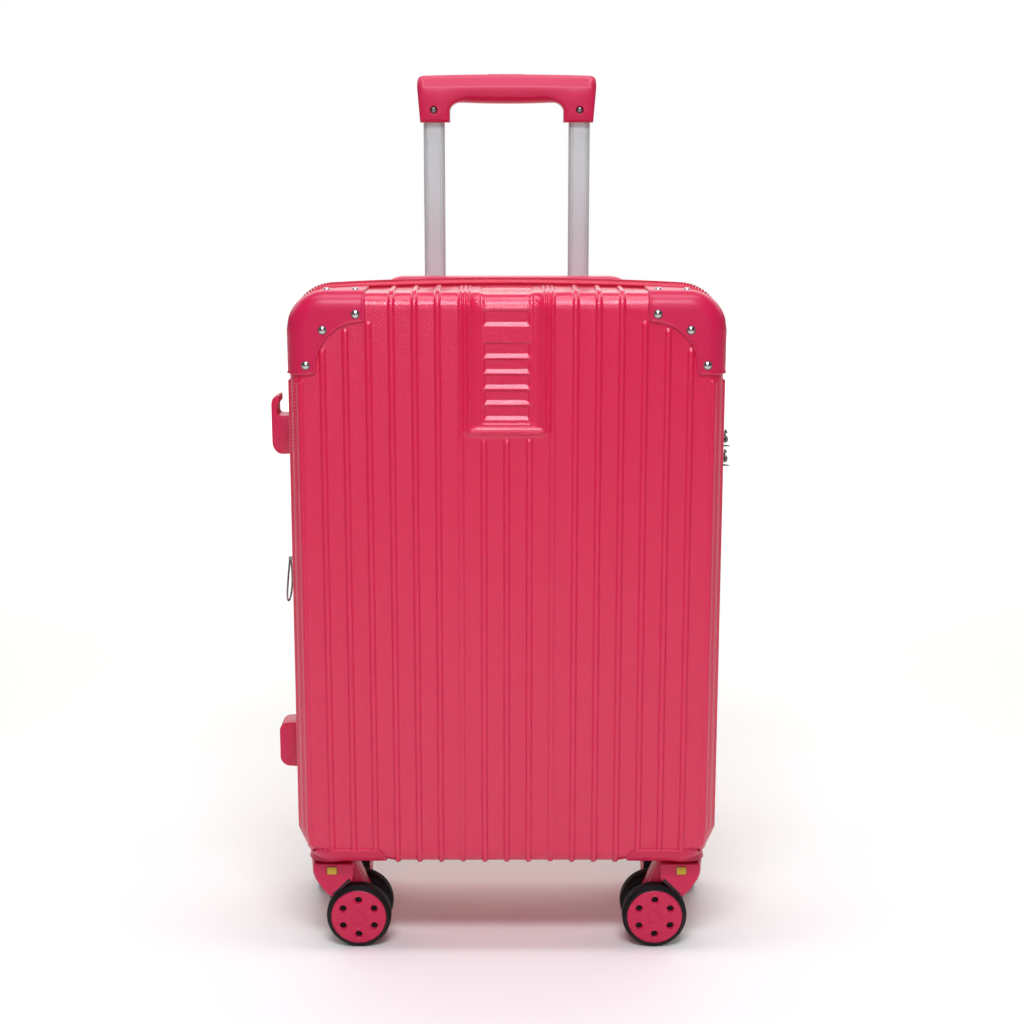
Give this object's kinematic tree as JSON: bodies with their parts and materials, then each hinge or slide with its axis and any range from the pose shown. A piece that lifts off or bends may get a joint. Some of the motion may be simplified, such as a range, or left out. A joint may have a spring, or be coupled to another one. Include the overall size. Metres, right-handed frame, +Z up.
{
  "type": "suitcase",
  "caption": "Upright hard shell suitcase with vertical ribs, corner guards, a telescopic pull handle and swivelling casters.",
  "frame": {"origin": "on the floor under the middle of the case, between the wheels", "axes": "+X to the right seen from the front, +Y towards the back, +Z up; the pull handle is partly out"},
  "size_m": [0.3849, 0.234, 0.7383],
  "materials": {
    "shell": "satin, fine diagonal grain",
    "trim": "satin",
    "zip_fabric": "woven tape",
    "lining": "plain woven",
    "webbing": "woven webbing",
    "chrome": "polished",
    "steel": "brushed",
    "dark_steel": "blackened",
    "tube": "satin anodised",
    "black_plastic": "fine matt",
    "tyre": "matt"
  },
  "bodies": {
    "rear_case": {"rear_shell": "shell", "rear_corner_guards": "trim", "rear_rivets": "chrome", "rear_wheel_housings": "trim", "rear_zip": "zip_fabric", "zip_sliders": "chrome", "outer_tubes": "tube", "trolley_bezel": "trim", "tube_bracket": "black_plastic", "handle_sockets": "black_plastic", "lock_body": "black_plastic", "rear_lining": "lining", "packing_straps": "webbing"},
    "lid": {"front_shell": "shell", "front_corner_guards": "trim", "front_rivets": "chrome", "front_wheel_housings": "trim", "front_zip": "zip_fabric", "hook_foot": "trim", "plain_foot": "trim", "front_lining": "lining", "divider_panel": "lining"},
    "middle_stage": {"middle_tubes": "tube"},
    "pull_handle": {"inner_tubes": "tube", "grip": "trim", "grip_screws": "dark_steel"},
    "release_button": {"grip_button": "trim"},
    "top_carry_handle": {"top_handle": "trim"},
    "side_carry_handle": {"side_handle": "trim"},
    "lock_release": {"lock_button": "chrome"},
    "dial_1": {"lock_dial_1": "chrome"},
    "dial_2": {"lock_dial_2": "chrome"},
    "dial_3": {"lock_dial_3": "chrome"},
    "upper_pull": {"upper_zip_pull": "chrome"},
    "lower_pull": {"lower_zip_pull": "chrome"},
    "expansion_pull": {"expansion_zip_pull": "chrome"},
    "front_left_caster": {"front_left_fork": "trim", "front_left_axle": "steel"},
    "front_left_outer_wheel": {"front_left_outer_tyre": "tyre", "front_left_outer_cap": "trim"},
    "front_left_inner_wheel": {"front_left_inner_tyre": "tyre", "front_left_inner_cap": "trim"},
    "front_right_caster": {"front_right_fork": "trim", "front_right_axle": "steel"},
    "front_right_outer_wheel": {"front_right_outer_tyre": "tyre", "front_right_outer_cap": "trim"},
    "front_right_inner_wheel": {"front_right_inner_tyre": "tyre", "front_right_inner_cap": "trim"},
    "rear_left_caster": {"rear_left_fork": "trim", "rear_left_axle": "steel"},
    "rear_left_outer_wheel": {"rear_left_outer_tyre": "tyre", "rear_left_outer_cap": "trim"},
    "rear_left_inner_wheel": {"rear_left_inner_tyre": "tyre", "rear_left_inner_cap": "trim"},
    "rear_right_caster": {"rear_right_fork": "trim", "rear_right_axle": "steel"},
    "rear_right_outer_wheel": {"rear_right_outer_tyre": "tyre", "rear_right_outer_cap": "trim"},
    "rear_right_inner_wheel": {"rear_right_inner_tyre": "tyre", "rear_right_inner_cap": "trim"}
  },
  "joints": [
    {"name": "lid_open", "type": "hinge", "parent": "rear_case", "child": "lid", "pos_m": [-0.19, -0.012, 0.32], "axis": [0, 0, -1], "range_deg": [0, 180]},
    {"name": "middle_stage_slide", "type": "slide", "parent": "rear_case", "child": "middle_stage", "axis": [0, 0, 1], "range_m": [0, 0.22]},
    {"name": "pull_handle_slide", "type": "slide", "parent": "middle_stage", "child": "pull_handle", "axis": [0, 0, 1], "range_m": [-0.125, 0.095]},
    {"name": "release_button_press", "type": "slide", "parent": "pull_handle", "child": "release_button", "axis": [0, 0, -1], "range_m": [0, 0.004], "stiffness_N_per_m": 300, "springref_m": -0.002},
    {"name": "top_handle_lift", "type": "slide", "parent": "rear_case", "child": "top_carry_handle", "axis": [0, 0, 1], "range_m": [0, 0.016]},
    {"name": "side_handle_lift", "type": "slide", "parent": "rear_case", "child": "side_carry_handle", "axis": [1, 0, 0], "range_m": [0, 0.016], "stiffness_N_per_m": 60},
    {"name": "lock_button_press", "type": "slide", "parent": "rear_case", "child": "lock_release", "axis": [0, 0, -1], "range_m": [0, 0.004], "stiffness_N_per_m": 150, "springref_m": -0.002},
    {"name": "dial_1_turn", "type": "hinge", "parent": "rear_case", "child": "dial_1", "pos_m": [0.184, 0.038, 0.39], "axis": [0, 0, 1], "continuous": true},
    {"name": "dial_2_turn", "type": "hinge", "parent": "rear_case", "child": "dial_2", "pos_m": [0.184, 0.038, 0.396], "axis": [0, 0, 1], "continuous": true},
    {"name": "dial_3_turn", "type": "hinge", "parent": "rear_case", "child": "dial_3", "pos_m": [0.184, 0.038, 0.402], "axis": [0, 0, 1], "continuous": true},
    {"name": "upper_pull_swing", "type": "hinge", "parent": "rear_case", "child": "upper_pull", "pos_m": [0.189, -0.012, 0.43], "axis": [0, 0, -1], "range_deg": [0, 150]},
    {"name": "lower_pull_swing", "type": "hinge", "parent": "rear_case", "child": "lower_pull", "pos_m": [0.189, -0.012, 0.413], "axis": [0, 0, -1], "range_deg": [0, 150]},
    {"name": "expansion_pull_swing", "type": "hinge", "parent": "rear_case", "child": "expansion_pull", "pos_m": [-0.1908, 0.0045, 0.322], "axis": [0, -1, 0], "range_deg": [-110, 0]},
    {"name": "front_left_swivel", "type": "hinge", "parent": "lid", "child": "front_left_caster", "pos_m": [-0.1515, -0.076, 0.07], "axis": [0, 0, 1], "continuous": true},
    {"name": "front_left_outer_wheel_spin", "type": "hinge", "parent": "front_left_caster", "child": "front_left_outer_wheel", "pos_m": [-0.1275, -0.076, 0.0278], "axis": [0, 1, 0], "continuous": true},
    {"name": "front_left_inner_wheel_spin", "type": "hinge", "parent": "front_left_caster", "child": "front_left_inner_wheel", "pos_m": [-0.1275, -0.076, 0.0278], "axis": [0, 1, 0], "continuous": true},
    {"name": "front_right_swivel", "type": "hinge", "parent": "lid", "child": "front_right_caster", "pos_m": [0.1515, -0.076, 0.07], "axis": [0, 0, 1], "continuous": true},
    {"name": "front_right_outer_wheel_spin", "type": "hinge", "parent": "front_right_caster", "child": "front_right_outer_wheel", "pos_m": [0.1275, -0.076, 0.0278], "axis": [0, 1, 0], "continuous": true},
    {"name": "front_right_inner_wheel_spin", "type": "hinge", "parent": "front_right_caster", "child": "front_right_inner_wheel", "pos_m": [0.1275, -0.076, 0.0278], "axis": [0, 1, 0], "continuous": true},
    {"name": "rear_left_swivel", "type": "hinge", "parent": "rear_case", "child": "rear_left_caster", "pos_m": [-0.1515, 0.076, 0.07], "axis": [0, 0, 1], "continuous": true},
    {"name": "rear_left_outer_wheel_spin", "type": "hinge", "parent": "rear_left_caster", "child": "rear_left_outer_wheel", "pos_m": [-0.1515, 0.052, 0.0278], "axis": [1, 0, 0], "continuous": true},
    {"name": "rear_left_inner_wheel_spin", "type": "hinge", "parent": "rear_left_caster", "child": "rear_left_inner_wheel", "pos_m": [-0.1515, 0.052, 0.0278], "axis": [1, 0, 0], "continuous": true},
    {"name": "rear_right_swivel", "type": "hinge", "parent": "rear_case", "child": "rear_right_caster", "pos_m": [0.1515, 0.076, 0.07], "axis": [0, 0, 1], "continuous": true},
    {"name": "rear_right_outer_wheel_spin", "type": "hinge", "parent": "rear_right_caster", "child": "rear_right_outer_wheel", "pos_m": [0.1515, 0.052, 0.0278], "axis": [1, 0, 0], "continuous": true},
    {"name": "rear_right_inner_wheel_spin", "type": "hinge", "parent": "rear_right_caster", "child": "rear_right_inner_wheel", "pos_m": [0.1515, 0.052, 0.0278], "axis": [1, 0, 0], "continuous": true}
  ]
}
